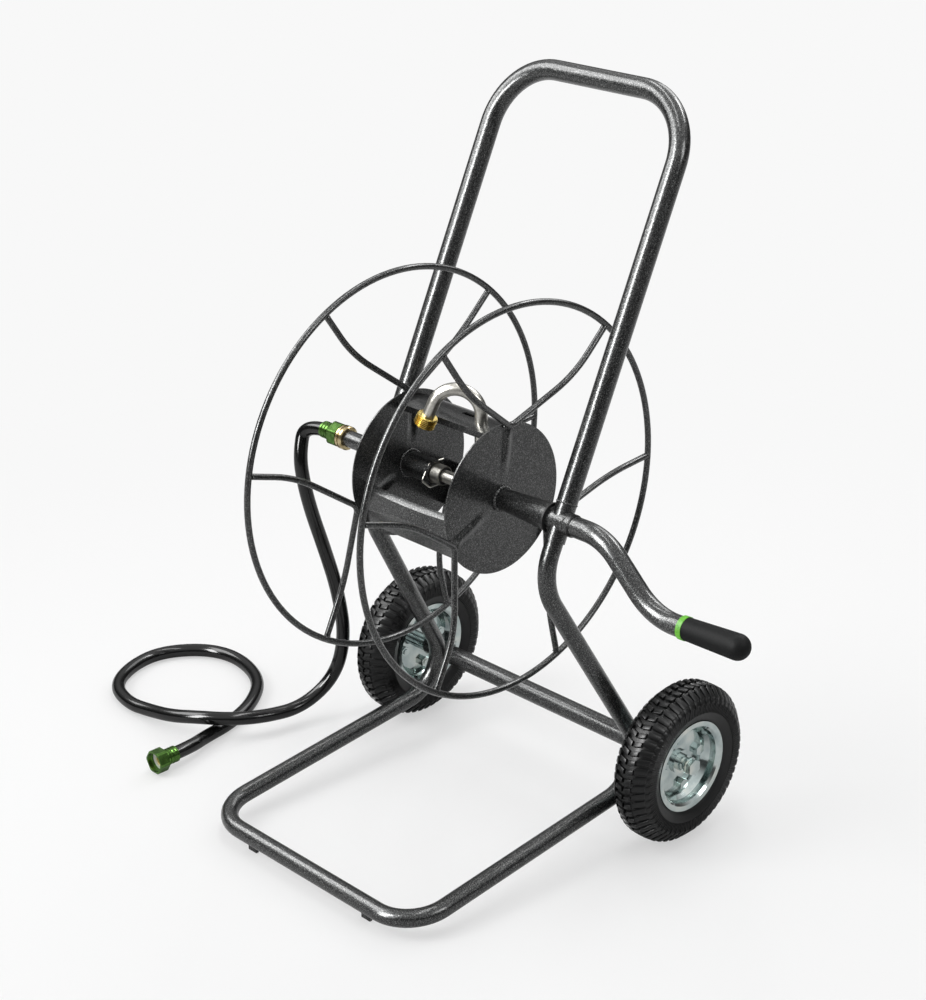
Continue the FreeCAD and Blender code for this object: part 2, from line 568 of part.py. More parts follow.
# ---------------------------------------------------------------- inlet pipe and near coupling
reel_y, reel_z = "axle_y", "axle_height"
node(tube("inlet_pipe", "shaft_radius", "pipe_bore", "pipe_outer_end - pipe_end",
          "frame_mid_x - pipe_end", reel_y, reel_z, AGAINST_X), "inlet_pipe")
pocket = "pipe_outer_end - adapter_start"
stub = "adapter_length + adapter_stub"
waist = "adapter_radius - adapter_groove"
node(turned("inlet_adapter",
            [("shaft_radius", 0), ("adapter_radius - adapter_edge", 0),
             ("adapter_radius", "adapter_edge"), ("adapter_radius", "adapter_length / 2 - 0.8"),
             (waist, "adapter_length / 2 - 0.8"), (waist, "adapter_length / 2 + 0.8"),
             ("adapter_radius", "adapter_length / 2 + 0.8"),
             ("adapter_radius", "adapter_length - adapter_edge"),
             ("adapter_radius - adapter_edge", "adapter_length"),
             ("thread_radius", "adapter_length"), ("thread_radius", stub),
             ("pipe_bore", stub), ("pipe_bore", pocket), ("shaft_radius", pocket)],
            "frame_mid_x - adapter_start", reel_y, reel_z, AGAINST_X), "inlet_adapter")
washer_at = "adapter_start + " + stub
stem_at = washer_at + " + seat_washer"
nut_at = "adapter_start + adapter_length + side_gap"
node(tube("inlet_washer", "stem_flange_radius", "seat_bore", "seat_washer",
          "frame_mid_x - (%s)" % washer_at, reel_y, reel_z, AGAINST_X), "inlet_washer")
node(turned("inlet_stem",
            [("stem_bore", 0), ("stem_flange_radius", 0), ("stem_flange_radius", "stem_flange"),
             ("hose_bore", "stem_flange"), ("hose_bore", "stem_long"), ("stem_bore", "stem_long")],
            "frame_mid_x - (%s)" % stem_at, reel_y, reel_z, AGAINST_X), "inlet_stem")
inlet_spot = ("frame_mid_x - (%s)" % nut_at, reel_y, reel_z, AGAINST_X)
inlet_blank = common("inlet_nut_blank",
                     hexagon("inlet_nut_hex", "nut_corner", "nut_length", *inlet_spot),
                     cylinder("inlet_nut_round", "nut_round", "nut_length", *inlet_spot))
inlet_pocket = cylinder("inlet_nut_pocket", "thread_radius", "nut_length - nut_wall", *inlet_spot)
inlet_hole = cylinder("inlet_nut_hole", "hose_bore + running_gap", "nut_length + 2", *inlet_spot)
node(cut("inlet_nut", inlet_blank, fuse("inlet_nut_tools", inlet_pocket, inlet_hole)),
     "inlet_nut")
ferrule_at = nut_at + " + nut_length + side_gap"
ferrule_outline = [("hose_bore", 0), ("ferrule_radius", 0), ("ferrule_radius", "ferrule_length"),
                   ("hose_radius", "ferrule_length"), ("hose_radius", "ferrule_wall"),
                   ("hose_bore", "ferrule_wall")]
node(turned("inlet_ferrule", ferrule_outline, "frame_mid_x - (%s)" % ferrule_at,
            reel_y, reel_z, AGAINST_X), "inlet_ferrule")

# ---------------------------------------------------------------- leader hose and far coupling
hose_start = number(ferrule_at + " + ferrule_wall")
hose_stop = number("end_y - ferrule_length + ferrule_wall")
end_x, end_z = number("end_x"), number("end_z")
HOSE_ROUTE = [
    (-hose_start, 0, axle_z), (-309.5, 0, axle_z), (-304, -15, 0.906 * axle_z),
    (-298, -15, 0.824 * axle_z), (-292, -8, 0.727 * axle_z), (-286, 8, 0.598 * axle_z),
    (-285, 28, 0.4515 * axle_z), (-286, 41, 0.282 * axle_z), (-302, 35, 0.131 * axle_z),
    (-316, -14, 23), (-323, -74, 28), (-346, -118, 31.5), (-382, -145, 31), (-423, -158, 22),
    (-470, -160, 13), (-514, -165, 9.6), (-570, -148, 9.6), (-603, -95, 9.6),
    (-609.5, -37, 9.6), (-571, 17, 9.6), (-515, 34, 9.6), (-440, 12, 9.6), (-393, -41, 9.6),
    (-369, -100, 9.6), (-360, -151, 11), (end_x, -189, end_z), (end_x, hose_stop, end_z),
]
hose_points = [at_frame(*p) for p in HOSE_ROUTE]
hose_bends = []
for before, corner, after in zip(hose_points, hose_points[1:], hose_points[2:]):
    run_in = Vector(*corner) - Vector(*before)
    run_out = Vector(*after) - Vector(*corner)
    bend = run_in.getAngle(run_out)
    shorter = min(run_in.Length, run_out.Length)
    hose_bends.append(0.45 * shorter / math.tan(bend / 2))
    print("hose corner turn %.1f radius %.1f run %.1f" % (math.degrees(bend), hose_bends[-1],
                                                          run_in.Length))
print("hose length %.1f" % rounded_path(hose_points, hose_bends).Length)
node(hollow("leader_hose", hose_points, hose_bends, "hose_radius", "hose_bore"), "leader_hose")

end_place = ("frame_mid_x + end_x", "axle_y + end_y", "end_z", AGAINST_Y)
node(turned("end_ferrule",
            [("hose_radius", 0), ("ferrule_radius", 0), ("ferrule_radius", "ferrule_length"),
             ("hose_bore", "ferrule_length"), ("hose_bore", "ferrule_length - ferrule_wall"),
             ("hose_radius", "ferrule_length - ferrule_wall")], *end_place), "end_ferrule")
seat = "ferrule_length + nut_wall + 2 * side_gap"
node(turned("end_stem",
            [("stem_bore", 2), ("hose_bore", 2), ("hose_bore", seat),
             ("stem_flange_radius", seat), ("stem_flange_radius", seat + " + stem_flange"),
             ("stem_bore", seat + " + stem_flange")], *end_place), "end_stem")
node(tube("end_washer", "stem_flange_radius", "seat_bore", "seat_washer", end_place[0],
          "axle_y + end_y - (%s + stem_flange)" % seat, end_place[2], AGAINST_Y), "end_washer")
nut_y = "axle_y + end_y - ferrule_length - side_gap"
end_spot = (end_place[0], nut_y, end_place[2], AGAINST_Y)
end_blank = common("end_nut_blank", hexagon("end_nut_hex", "nut_corner", "nut_length", *end_spot),
                   cylinder("end_nut_round", "nut_round", "nut_length", *end_spot))
end_pocket = cylinder("end_nut_pocket", "thread_radius", "nut_length", end_place[0],
                      nut_y + " - nut_wall", end_place[2], AGAINST_Y)
end_hole = cylinder("end_nut_hole", "hose_bore + running_gap", "nut_length", *end_spot)
node(cut("end_nut", end_blank, fuse("end_nut_tools", end_pocket, end_hole)), "end_nut")

# ---------------------------------------------------------------- check and write
doc.recompute()
os.makedirs("parts", exist_ok=True)
bad = [o.Label for o in doc.Objects if "Invalid" in o.State or "Error" in o.State]
if bad:
    raise RuntimeError("not built: " + ", ".join(bad))
for thing in NODES:
    shape = thing.Shape
    if shape.isNull() or not shape.isValid() or not shape.Solids:
        raise RuntimeError("bad shape: " + thing.Label)
    shape.exportStep(os.path.join("parts", thing.Label + ".step"))
    box = shape.BoundBox
    print("%-24s solids %d volume %9.0f  x %7.1f %7.1f  y %7.1f %7.1f  z %7.1f %7.1f" % (
        thing.Label, len(shape.Solids), shape.Volume, box.XMin, box.XMax, box.YMin, box.YMax,
        box.ZMin, box.ZMax))
print("nodes", len(NODES))
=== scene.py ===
import math

import bmesh
import bpy
from mathutils import Matrix, Vector, noise


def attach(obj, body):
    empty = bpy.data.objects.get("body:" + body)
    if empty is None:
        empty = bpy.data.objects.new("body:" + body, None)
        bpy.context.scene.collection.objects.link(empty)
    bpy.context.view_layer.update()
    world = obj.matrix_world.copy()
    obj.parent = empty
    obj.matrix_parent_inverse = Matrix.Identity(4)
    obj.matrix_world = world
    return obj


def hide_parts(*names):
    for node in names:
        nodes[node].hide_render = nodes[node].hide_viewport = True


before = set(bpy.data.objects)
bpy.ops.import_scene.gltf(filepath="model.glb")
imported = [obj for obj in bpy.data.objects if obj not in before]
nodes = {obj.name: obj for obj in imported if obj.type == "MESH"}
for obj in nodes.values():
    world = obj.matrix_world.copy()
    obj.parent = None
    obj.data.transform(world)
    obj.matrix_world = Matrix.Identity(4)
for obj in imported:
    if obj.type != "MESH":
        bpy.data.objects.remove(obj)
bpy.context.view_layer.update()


# ---- Camera ----------------------------------------------------------------------------
# A long lens set at the height of a standing person's eyes, off the crank's front corner,
# looking down on the reel with the hose's loop to the left.
LOOK_DOWN, LOOK_ROUND = math.radians(22.9), math.radians(45.6)
camera_data = bpy.data.cameras.new("camera")
camera_data.lens = 78.7
camera_data.sensor_width = 36
camera_data.clip_end = 30
camera = bpy.data.objects.new("camera", camera_data)
camera.location = (1.6653, -1.7058, 1.4626)
camera.rotation_euler = (math.radians(90) - LOOK_DOWN, 0, LOOK_ROUND)
bpy.context.scene.collection.objects.link(camera)
bpy.context.scene.camera = camera
bpy.context.scene.view_settings.view_transform = "Standard"


# ---- Floor and light -------------------------------------------------------------------
# A white paper floor in a room that is pale to the eye and dark to the gloss. Three boxes
# light the cart softly. The other lamps are seen only as streaks along the shiny tubes.
def linear(code):
    """A hex sRGB colour as linear red, green, blue and alpha."""
    parts = [int(code[i:i + 2], 16) / 255 for i in (1, 3, 5)]
    return [c / 12.92 if c <= 0.04045 else ((c + 0.055) / 1.055) ** 2.4 for c in parts] + [1.0]


def add_node(owner, kind, inputs=None, stops=(), **settings):
    """Adds a shader node with its settings, its links or values, and its colour stops."""
    node = owner.node_tree.nodes.new(kind)
    for name, value in settings.items():
        setattr(node, name, value)
    for socket, value in (inputs or {}).items():
        if isinstance(value, bpy.types.NodeSocket):
            owner.node_tree.links.new(value, node.inputs[socket])
        else:
            node.inputs[socket].default_value = value
    if stops:
        colours = node.color_ramp.elements
        while len(colours) < len(stops):
            colours.new(0.5)
        for colour, (position, code) in zip(colours, stops):
            colour.position = position
            colour.color = linear(code)
    return node


def new_material(name):
    """An empty material, and the object coordinates that its pattern is read at."""
    material = bpy.data.materials.new(name)
    material.use_nodes = True
    material.node_tree.nodes.clear()
    return material, add_node(material, "ShaderNodeTexCoord").outputs["Object"]


FLOOR_HALF = 6
FLOOR_DROP = 0.0005  # metres below the tyres, so that they don't touch the paper's face
NEAR, FAR = 0.5, 1.7  # metres from the cart's middle, where the paper turns to backdrop

# Matt white paper. Near the cart it takes the shadow, and further out it glows to the
# camera as a backdrop does. The gloss of the tubes sees it a little darker than it is.
paper, place = new_material("white_paper")
matt = add_node(paper, "ShaderNodeBsdfPrincipled",
                {"Base Color": linear("#f5f5f5"), "Roughness": 0.9})
path = add_node(paper, "ShaderNodeLightPath")
distance = add_node(paper, "ShaderNodeVectorMath", {0: place}, operation="LENGTH")
fade = add_node(paper, "ShaderNodeMapRange",
                {"Value": distance.outputs["Value"], "From Min": NEAR, "From Max": FAR,
                 "To Min": 0.54, "To Max": 1.0}, interpolation_type="SMOOTHSTEP")
seen_share = add_node(paper, "ShaderNodeMix", {"Factor": path.outputs["Is Camera Ray"],
                                               "A": 0.0, "B": fade.outputs[0]})
share = add_node(paper, "ShaderNodeMath", {0: path.outputs["Is Glossy Ray"], 1: 0.3,
                                           2: seen_share.outputs[0]},
                 operation="MULTIPLY_ADD")
strength = add_node(paper, "ShaderNodeMath", {0: 1.0, 1: path.outputs["Is Glossy Ray"]},
                    operation="SUBTRACT")
glow = add_node(paper, "ShaderNodeEmission", {"Color": linear("#f8f8f8"),
                                              "Strength": strength.outputs[0]})
blend = add_node(paper, "ShaderNodeMixShader", {"Fac": share.outputs[0], 1: matt.outputs[0],
                                                2: glow.outputs[0]})
add_node(paper, "ShaderNodeOutputMaterial", {"Surface": blend.outputs[0]})
bm = bmesh.new()
bmesh.ops.create_grid(bm, x_segments=1, y_segments=1, size=FLOOR_HALF)
floor_mesh = bpy.data.meshes.new("floor")
bm.to_mesh(floor_mesh)
bm.free()
floor_mesh.materials.append(paper)
floor = bpy.data.objects.new("floor", floor_mesh)
floor.location.z = -FLOOR_DROP
bpy.context.scene.collection.objects.link(floor)

# The room: pale to the camera, a plain fill on matt surfaces, and for gloss a ceiling that
# brightens from the horizon up.
room = bpy.data.worlds.new("room")
bpy.context.scene.world = room
room.use_nodes = True
room.node_tree.nodes.clear()
path = add_node(room, "ShaderNodeLightPath")
toward = add_node(room, "ShaderNodeTexCoord").outputs["Generated"]
climb = add_node(room, "ShaderNodeSeparateXYZ", {"Vector": toward})
ceiling = add_node(room, "ShaderNodeMapRange",
                   {"Value": climb.outputs["Z"], "From Min": 0.2, "From Max": 0.8,
                    "To Min": 0.07, "To Max": 0.9}, interpolation_type="SMOOTHSTEP")
fill = add_node(room, "ShaderNodeMapRange", {"Value": path.outputs["Is Camera Ray"],
                                             "To Min": 0.62, "To Max": 0.94})
level = add_node(room, "ShaderNodeMix", {"Factor": path.outputs["Is Glossy Ray"],
                                         "A": fill.outputs[0], "B": ceiling.outputs[0]})
sky = add_node(room, "ShaderNodeBackground", {"Color": linear("#ffffff"),
                                              "Strength": level.outputs[0]})
add_node(room, "ShaderNodeOutputWorld", {"Surface": sky.outputs[0]})

# Name, place, width and height in metres, watts, and whether it lights matt surfaces too.
LAMP_AIM = Vector((0, 0, 0.4))
for name, spot, wide, tall, power, lights_matt in (
        ("key_box", (-1.6, -2.2, 2.6), 1.4, 1.4, 36, True),
        ("back_box", (-0.6, 2.6, 2.4), 1.6, 1.6, 20, True),
        ("side_box", (2.6, 0.4, 2.0), 1.0, 1.0, 20, False),
        ("top_strip", (-0.2, 0.2, 2.5), 0.16, 2.4, 13, True),
        ("front_panel", (-0.7, -2.8, 1.8), 1.0, 2.2, 150, False),
        ("left_panel", (-2.1, -0.9, 2.3), 1.4, 1.8, 52, False),
        ("back_panel", (0.5, 2.2, 2.7), 1.4, 0.4, 26, False)):
    lamp = bpy.data.lights.new(name, "AREA")
    lamp.shape = "RECTANGLE"
    lamp.size = wide
    lamp.size_y = tall
    lamp.energy = power
    lamp_object = bpy.data.objects.new(name, lamp)
    lamp_object.location = spot
    aim = LAMP_AIM - Vector(spot)
    lamp_object.rotation_euler = aim.to_track_quat("-Z", "Y").to_euler()
    lamp_object.visible_diffuse = lights_matt
    bpy.context.scene.collection.objects.link(lamp_object)


# ---- Leader hose -----------------------------------------------------------------------
# A short black reinforced rubber hose, stiff enough to stand in its own curves. It drops
# from the inlet, passes over its own tail and lies on the ground with its coupling raised.
MIDDLE = -0.0839
AXLE_Y = 0.02005
AXLE_Z = 0.443
HOSE_RADIUS = 0.00925
HOSE_ROUTE = [
    (-0.2516, 0, 0.443), (-0.3095, 0, 0.443), (-0.304, -0.015, 0.4014),
    (-0.298, -0.015, 0.3650), (-0.292, -0.008, 0.3221), (-0.286, 0.008, 0.2649),
    (-0.285, 0.028, 0.2000), (-0.286, 0.041, 0.1249), (-0.302, 0.035, 0.0580),
    (-0.316, -0.014, 0.023), (-0.323, -0.074, 0.028), (-0.346, -0.118, 0.0315),
    (-0.382, -0.145, 0.031), (-0.423, -0.158, 0.022), (-0.470, -0.160, 0.013),
    (-0.514, -0.165, 0.0096), (-0.570, -0.148, 0.0096), (-0.603, -0.095, 0.0096),
    (-0.6095, -0.037, 0.0096), (-0.571, 0.017, 0.0096), (-0.515, 0.034, 0.0096),
    (-0.440, 0.012, 0.0096), (-0.393, -0.041, 0.0096), (-0.369, -0.100, 0.0096),
    (-0.360, -0.151, 0.011), (-0.343, -0.189, 0.0176), (-0.343, -0.2318, 0.0176),
]
# Rubber drawn through a die: smooth and black, with one long unbroken highlight.
DIE_MARK = 3.846  # millimetres from one faint die mark to the next
hose_rubber, place = new_material("extruded_rubber_hose")
grain = add_node(hose_rubber, "ShaderNodeTexNoise",
                 {"Vector": place, "Scale": 1000 / DIE_MARK, "Detail": 3})
tone = add_node(hose_rubber, "ShaderNodeValToRGB", {"Fac": grain.outputs["Fac"]},
                stops=[(0.3, "#060606"), (0.8, "#0f1010")])
dimples = add_node(hose_rubber, "ShaderNodeBump",
                   {"Height": grain.outputs["Fac"], "Strength": 0.05, "Distance": 0.001})
surface = add_node(hose_rubber, "ShaderNodeBsdfPrincipled",
                   {"Base Color": tone.outputs["Color"], "Normal": dimples.outputs[0],
                    "Roughness": 0.15})
add_node(hose_rubber, "ShaderNodeOutputMaterial", {"Surface": surface.outputs[0]})

hose_curve = bpy.data.curves.new("hose_line", "CURVE")
hose_curve.dimensions = "3D"
hose_curve.bevel_depth = HOSE_RADIUS
hose_curve.bevel_resolution = 8
hose_curve.resolution_u = 14
line = hose_curve.splines.new("NURBS")
line.points.add(len(HOSE_ROUTE) - 1)
for point, (x, y, z) in zip(line.points, HOSE_ROUTE):
    point.co = (x + MIDDLE, y + AXLE_Y, z, 1)
line.order_u = 3
line.use_endpoint_u = True
hose_curve.materials.append(hose_rubber)
hose = bpy.data.objects.new("rubber_leader_hose", hose_curve)
bpy.context.scene.collection.objects.link(hose)
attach(hose, "frame")
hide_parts("leader_hose")


# ---- Bent steel frame ------------------------------------------------------------------
# Round steel tube in a hammertone powder coat: charcoal resin with silver flake that pulls
# into small puddles as it cures, so it glints in points and its highlights break up.
FLAKE = 1.4  # millimetres across; drawn coarser than the real flake so that it shows
hammertone, place = new_material("hammertone_powder_coat")
puddles = add_node(hammertone, "ShaderNodeTexVoronoi",
                   {"Vector": place, "Scale": 1000 / FLAKE}, feature="F1")
glints = add_node(hammertone, "ShaderNodeTexNoise", {"Vector": place, "Scale": 1000 / FLAKE,
                                                     "Detail": 2, "Roughness": 0.7})
tone = add_node(hammertone, "ShaderNodeValToRGB", {"Fac": glints.outputs["Fac"]},
                stops=[(0.32, "#0f1010"), (0.46, "#242525"), (0.58, "#4c4d4d"),
                       (0.74, "#8c8c8a")])
relief = add_node(hammertone, "ShaderNodeBump", {"Height": puddles.outputs["Distance"],
                                                 "Strength": 0.24, "Distance": 0.0004})
surface = add_node(hammertone, "ShaderNodeBsdfPrincipled",
                   {"Base Color": tone.outputs["Color"], "Normal": relief.outputs[0],
                    "Metallic": 0.75, "Roughness": 0.32, "Coat Weight": 0.8,
                    "Coat Roughness": 0.16})
add_node(hammertone, "ShaderNodeOutputMaterial", {"Surface": surface.outputs[0]})


def repaint(material, *names):
    """Gives CAD nodes their finish."""
    for name in names:
        for slot in nodes[name].material_slots:
            slot.material = material


repaint(hammertone, "handle_tube", "base_frame_tube", "axle_tube", "front_feet",
        "bearing_bracket_right", "bearing_bracket_left", "inlet_pipe", "left_ring",
        "right_ring", "left_spokes", "right_spokes", "drum_plate_top", "right_hub_tube",
        "left_hub_tube", "crank_tube")


# ---- Bearing bushes --------------------------------------------------------------------
# Moulded black nylon bushes with flanges that keep the painted tubes apart. The liner and
# the seals inside the hub are as black and as dull.
MOULD_MOTTLE = 2.5  # millimetres across a patch of the mould's texture
nylon, place = new_material("moulded_nylon")
mottle = add_node(nylon, "ShaderNodeTexNoise", {"Vector": place,
                                                "Scale": 1000 / MOULD_MOTTLE})
tone = add_node(nylon, "ShaderNodeValToRGB", {"Fac": mottle.outputs["Fac"]},
                stops=[(0.3, "#0c0d0d"), (0.7, "#171818")])
surface = add_node(nylon, "ShaderNodeBsdfPrincipled",
                   {"Base Color": tone.outputs["Color"], "Roughness": 0.5})
add_node(nylon, "ShaderNodeOutputMaterial", {"Surface": surface.outputs[0]})
repaint(nylon, "bush_left_inner", "bush_left_outer", "bush_right_inner", "bush_right_outer",
        "hub_liner", "swivel_seal", "swivel_o_ring")


# ---- Weld beads ------------------------------------------------------------------------
# Small lumpy fillets of weld metal under the powder coat, where tubes and rods are joined.
# Each is laid as a row of overlapping drops, a little uneven, round the edge of the joint.
def finish_piece(bm, name, body, material, replaced=(), merge=0.00001, sharp=35):
    """Turns a bmesh into a smooth named piece that rides on a body."""
    if merge:
        bmesh.ops.remove_doubles(bm, verts=bm.verts, dist=merge)
    bmesh.ops.recalc_face_normals(bm, faces=bm.faces)
    for face in bm.faces:
        face.smooth = True
    for edge in bm.edges:
        if len(edge.link_faces) == 2 and edge.calc_face_angle(0) > math.radians(sharp):
            edge.smooth = False
    mesh = bpy.data.meshes.new(name)
    bm.to_mesh(mesh)
    bm.free()
    mesh.materials.append(material)
    piece = bpy.data.objects.new(name, mesh)
    bpy.context.scene.collection.objects.link(piece)
    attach(piece, body)
    if replaced:
        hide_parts(*replaced)
    return piece


def blob(bm, spot, size, rounds=2):
    """One drop of weld metal."""
    bmesh.ops.create_icosphere(bm, subdivisions=rounds, radius=size,
                               matrix=Matrix.Translation(spot))


def weld_ring(bm, centre, axis, radius, size, spread=math.tau, start=0.0, seed=0):
    """A bead laid round a tube, swelling and thinning as the torch was moved."""
    axis = Vector(axis).normalized()
    side = axis.orthogonal().normalized()
    turn = Matrix.Rotation(start, 3, axis)
    lumps = max(6, int(radius * spread / (size * 1.1)))
    for i in range(lumps):
        out = Matrix.Rotation(spread * i / lumps, 3, axis) @ turn @ side
        lump = size * (0.85 + 0.35 * noise.noise(Vector((i * 0.9, seed, 0.3))))
        blob(bm, Vector(centre) + out * radius, lump)


X_WAY = (1, 0, 0)
LEAN = math.radians(25)
UPRIGHT_HALF = 0.151
# The seam where a leg enters its upright: how far up the slope, radius and size of bead.
COLLAR_UP, COLLAR_RADIUS, COLLAR_BEAD = 0.0225, 0.0124, 0.0012
# The seams between an upright and its sleeve: short arcs, in radians, either side of it.
SLEEVE_HALF, SLEEVE_RADIUS, SLEEVE_BEAD = 0.0128, 0.0138, 0.0017
SLEEVE_ARC, SLEEVE_ARC_SHIFT = 1.2, 50
SLEEVE_ARCS = ((0.7, 3), (3.6, 5))  # where each arc starts, and its seed
# The seam between the base and the cross tube: rows of drops above and below.
HEEL = (0.181, 0.1195, 0.1045)  # beside the middle, behind the axle, above the ground
HEEL_DROPS, HEEL_STEP, HEEL_BACK, HEEL_LIFT, HEEL_BEAD = 7, 0.0026, 0.004, 0.011, 0.0021

slope = Vector((0, math.sin(LEAN), math.cos(LEAN)))
bm = bmesh.new()
for side in (-1, 1):
    x = MIDDLE + side * UPRIGHT_HALF
    seam = Vector((x, AXLE_Y, AXLE_Z)) + slope * COLLAR_UP
    weld_ring(bm, seam, slope, COLLAR_RADIUS, COLLAR_BEAD, seed=side)
    for edge in (-SLEEVE_HALF, SLEEVE_HALF):
        for start, seed in SLEEVE_ARCS:
            weld_ring(bm, (x + edge, AXLE_Y, AXLE_Z), X_WAY, SLEEVE_RADIUS, SLEEVE_BEAD,
                      spread=SLEEVE_ARC, start=start + edge * SLEEVE_ARC_SHIFT,
                      seed=side + seed)
    heel = Vector((MIDDLE + side * HEEL[0], AXLE_Y + HEEL[1], HEEL[2]))
    for lift in (-HEEL_LIFT, HEEL_LIFT):
        for step in range(HEEL_DROPS):
            along = (step - HEEL_DROPS // 2) * HEEL_STEP
            blob(bm, heel + Vector((along, HEEL_BACK, lift)), HEEL_BEAD)
finish_piece(bm, "frame_weld_beads", "frame", hammertone, merge=0)

DISC_OUT = {"left": -0.110, "right": 0.054}
RING_X = {"left": -0.1275, "right": 0.0715}
TURN = math.radians(-6)
APEXES = [math.radians(90 + 120 * i) + TURN for i in range(3)]
# Where a hub tube meets its disc: place along the axle, radius, size of bead, and seed.
HUB_SEAMS = ((0.0548, 0.0142, 0.0032, 9), (-0.107, 0.0168, 0.0027, 11))
# Where a wire's end meets its ring, and the ring of small drops round it.
TIP_ALONG, TIP_ASIDE = 0.1992, 0.1355825
TIP_DROPS, TIP_RADIUS, TIP_BEAD = 8, 0.0036, 0.0013
# Where a wire's corner meets its disc, and the three drops that hold it.
APEX_ALONG, APEX_PROUD, APEX_STEP, APEX_BEAD = 0.0915, 0.0012, 0.007, 0.0027


def on_reel(x, angle, along, aside=0.0):
    """A place on the reel, along one direction round its axle and square to it."""
    return Vector((MIDDLE + x, AXLE_Y + along * math.cos(angle) - aside * math.sin(angle),
                   AXLE_Z + along * math.sin(angle) + aside * math.cos(angle)))


bm = bmesh.new()
for x, radius, size, seed in HUB_SEAMS:
    weld_ring(bm, (MIDDLE + x, AXLE_Y, AXLE_Z), X_WAY, radius, size, seed=seed)
for side, way in (("left", -1), ("right", 1)):
    for angle in APEXES:
        for aside in (-TIP_ASIDE, TIP_ASIDE):
            tip = on_reel(RING_X[side], angle, TIP_ALONG, aside)
            for step in range(TIP_DROPS):
                turn = Matrix.Rotation(step * math.tau / TIP_DROPS, 3, "Z")
                blob(bm, tip + turn @ Vector((TIP_RADIUS, 0, 0)), TIP_BEAD, rounds=1)
        for aside in (-APEX_STEP, 0, APEX_STEP):
            x = DISC_OUT[side] + way * APEX_PROUD
            blob(bm, on_reel(x, angle, APEX_ALONG, aside), APEX_BEAD)
finish_piece(bm, "reel_weld_beads", "reel", hammertone, merge=0)


# ---- Reel discs ------------------------------------------------------------------------
# Pressed sheet steel flanges with three embossed ribs, one towards each spoke's foot.
# Each is a single blank, bored for its hub tube and welded to it.
DISC_RADIUS = 0.095
DISC_SHEET = 0.0018
DISC_RINGS, DISC_STEPS = 56, 300
HUB_BORE = {"left": 0.0158, "right": 0.010}
RIB_HEIGHT, RIB_HALF = 0.0030, 0.0095
RIB_START, RIB_FULL, RIB_FALL, RIB_END = 0.018, 0.062, 0.080, 0.090  # along its length


def spin_profile(bm, profile, centre, axis, steps=72, closed=True):
    """Turns (radius, distance along the axis) corners round an axis through centre."""
    axis = Vector(axis).normalized()
    side = axis.orthogonal().normalized()
    verts = [bm.verts.new(Vector(centre) + side * r + axis * w) for r, w in profile]
    count = len(verts) if closed else len(verts) - 1
    edges = [bm.edges.new((verts[i], verts[(i + 1) % len(verts)])) for i in range(count)]
    bmesh.ops.spin(bm, geom=verts + edges, cent=centre, axis=axis, angle=math.tau,
                   steps=steps, use_merge=True, use_duplicate=False)


def smooth_step(low, high, value):
    """Rises from 0 to 1 between low and high, or falls when high is below low."""
    share = min(1.0, max(0.0, (value - low) / (high - low)))
    return share * share * (3 - 2 * share)


def rib_share(y, z):
    """How much of a rib's full height the pressing has at a place on a disc."""
    highest = 0.0
    for angle in APEXES:
        along = y * math.cos(angle) + z * math.sin(angle)
        aside = abs(-y * math.sin(angle) + z * math.cos(angle))
        if RIB_START < along < RIB_END:
            highest = max(highest, smooth_step(0.0, RIB_HALF, RIB_HALF - aside)
                          * smooth_step(RIB_START, RIB_FULL, along)
                          * smooth_step(RIB_END, RIB_FALL, along))
    return highest


for side, way in (("left", -1), ("right", 1)):
    bm = bmesh.new()
    hub = HUB_BORE[side]
    radii = [hub + (DISC_RADIUS - hub) * i / DISC_RINGS for i in range(DISC_RINGS + 1)]
    spin_profile(bm, [(radius, 0.0) for radius in radii],
                 (MIDDLE + DISC_OUT[side], AXLE_Y, AXLE_Z), X_WAY, steps=DISC_STEPS,
                 closed=False)
    bmesh.ops.remove_doubles(bm, verts=bm.verts, dist=0.00001)
    for vert in bm.verts:
        vert.co.x += way * RIB_HEIGHT * rib_share(vert.co.y - AXLE_Y, vert.co.z - AXLE_Z)
    bmesh.ops.recalc_face_normals(bm, faces=bm.faces)
    if (sum(f.normal.x for f in bm.faces) > 0) != (way > 0):
        bmesh.ops.reverse_faces(bm, faces=bm.faces)
    bmesh.ops.solidify(bm, geom=bm.faces[:], thickness=DISC_SHEET)
    finish_piece(bm, side + "_pressed_disc", "reel", hammertone,
                 [side + "_disc"], sharp=40)


